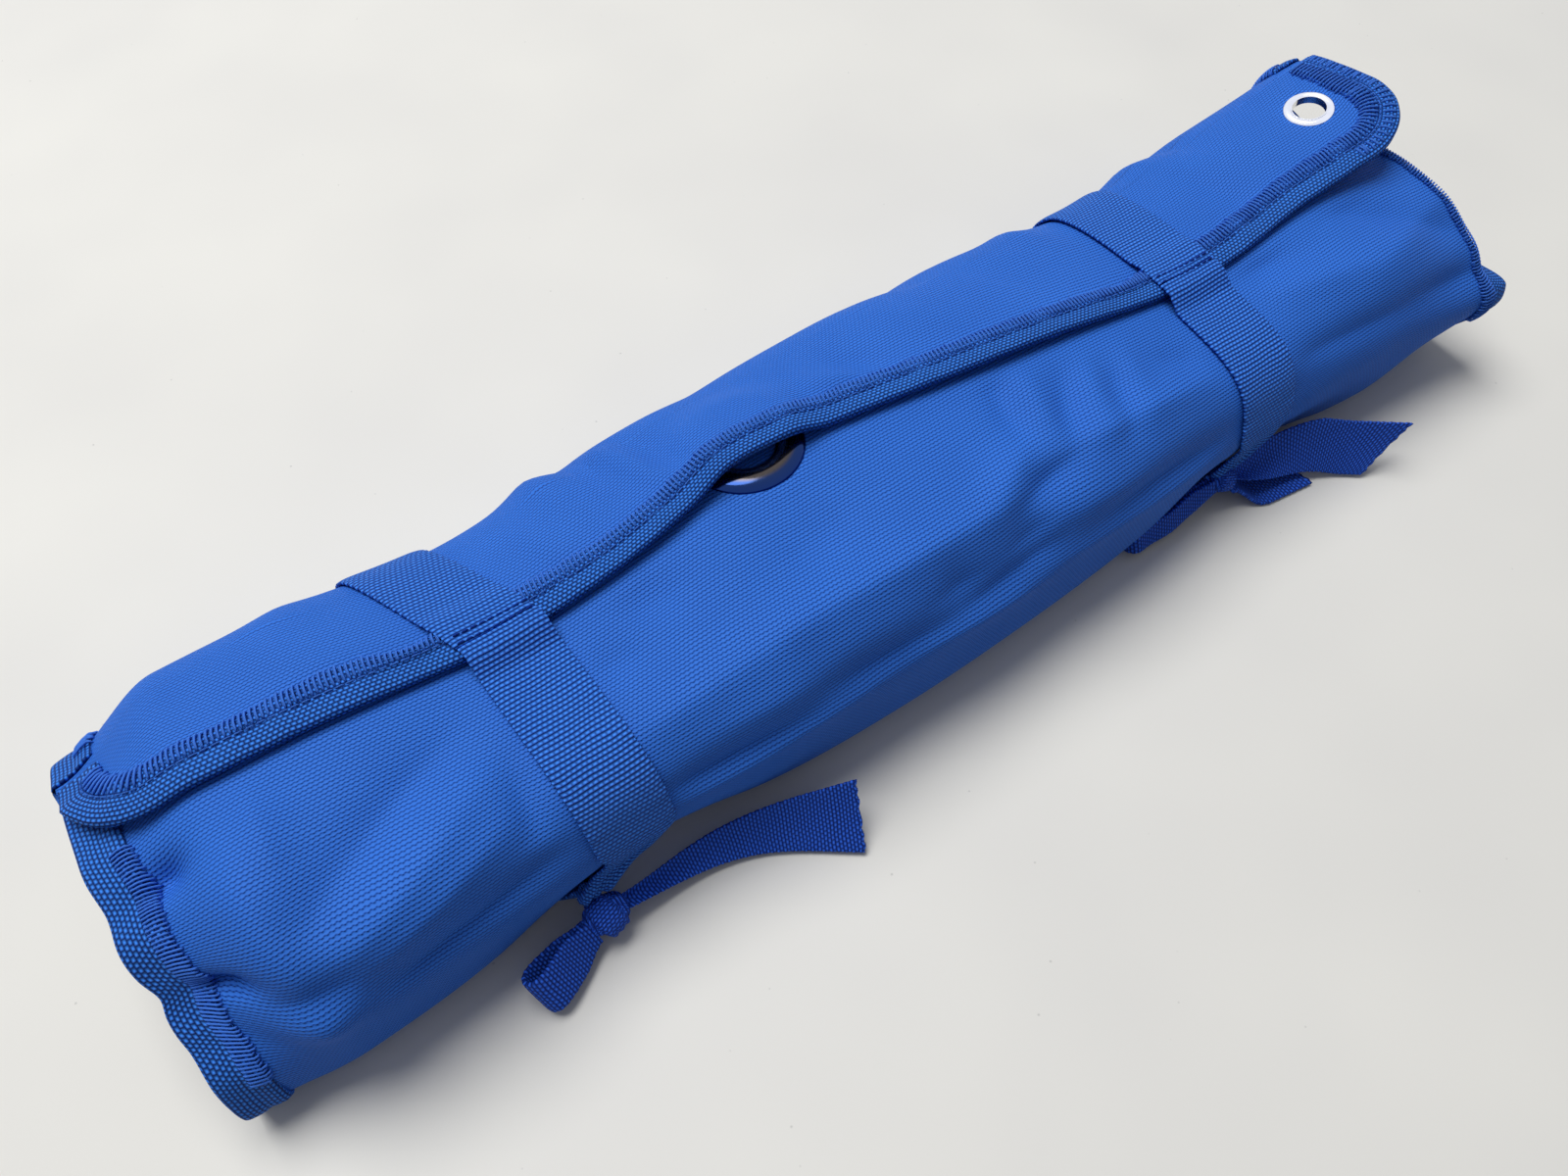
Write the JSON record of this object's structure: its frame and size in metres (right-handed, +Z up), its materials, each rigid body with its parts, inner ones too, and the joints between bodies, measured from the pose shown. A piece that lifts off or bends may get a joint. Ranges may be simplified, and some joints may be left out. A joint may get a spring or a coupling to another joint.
{
  "type": "foam sleeping pad",
  "caption": "Thin foam sleeping pad rolled up in a flat fabric cover with bound edges, tied with knotted webbing straps, with a liftable flap corner and pressed metal eyelets",
  "frame": {"origin": "on the surface the roll lies on, under the middle of the roll", "axes": "+X along the roll towards the lifted flap corner, -Y towards the knots, +Z up"},
  "size_m": [0.5022, 0.1575, 0.0843],
  "materials": {
    "fabric": "woven coated polyester, slight sheen",
    "binding": "ribbed tape",
    "webbing": "ribbed webbing",
    "thread": "matte",
    "foam": "closed-cell foam, matte",
    "steel": "polished",
    "dark_steel": "polished, dark"
  },
  "bodies": {
    "roll": {"foam_pad": "foam", "cover_sheet": "fabric", "flap": "fabric", "flap_binding": "binding", "left_end_binding": "binding", "right_end_binding": "binding", "large_eyelet": "dark_steel", "large_eyelet_washer": "dark_steel", "left_strap_back": "webbing", "left_strap_front": "webbing", "left_knot": "webbing", "right_strap_back": "webbing", "right_strap_front": "webbing", "right_knot": "webbing", "strap_stitching": "thread"},
    "right_corner": {"right_flap_corner": "fabric", "right_corner_binding": "binding", "corner_eyelet": "steel", "corner_eyelet_washer": "steel"},
    "left_tail": {"left_tail": "webbing"},
    "left_loop": {"left_loop": "webbing"},
    "right_tail": {"right_tail": "webbing"},
    "right_short_tail": {"right_short_tail": "webbing"},
    "right_loop": {"right_loop": "webbing"}
  },
  "joints": [
    {"name": "right_corner_fold", "type": "hinge", "parent": "roll", "child": "right_corner", "pos_m": [0.1465, 0.0066, 0.0689], "axis": [-0.9334, -0.3367, -0.1241], "range_deg": [0, 80]},
    {"name": "left_tail_swing", "type": "hinge", "parent": "roll", "child": "left_tail", "pos_m": [-0.13929, -0.06194, 0.01174], "axis": [0, 0, -1], "range_deg": [0, 50]},
    {"name": "left_loop_swing", "type": "hinge", "parent": "roll", "child": "left_loop", "pos_m": [-0.13929, -0.06194, 0.01174], "axis": [0, 0, 1], "range_deg": [0, 40]},
    {"name": "right_tail_swing", "type": "hinge", "parent": "roll", "child": "right_tail", "pos_m": [0.11904, -0.06211, 0.01174], "axis": [0, 0, -1], "range_deg": [0, 50]},
    {"name": "right_short_tail_swing", "type": "hinge", "parent": "roll", "child": "right_short_tail", "pos_m": [0.11904, -0.06211, 0.01174], "axis": [0, 0, -1], "range_deg": [0, 50]},
    {"name": "right_loop_swing", "type": "hinge", "parent": "roll", "child": "right_loop", "pos_m": [0.11904, -0.06211, 0.01174], "axis": [0, 0, 1], "range_deg": [0, 40]}
  ]
}
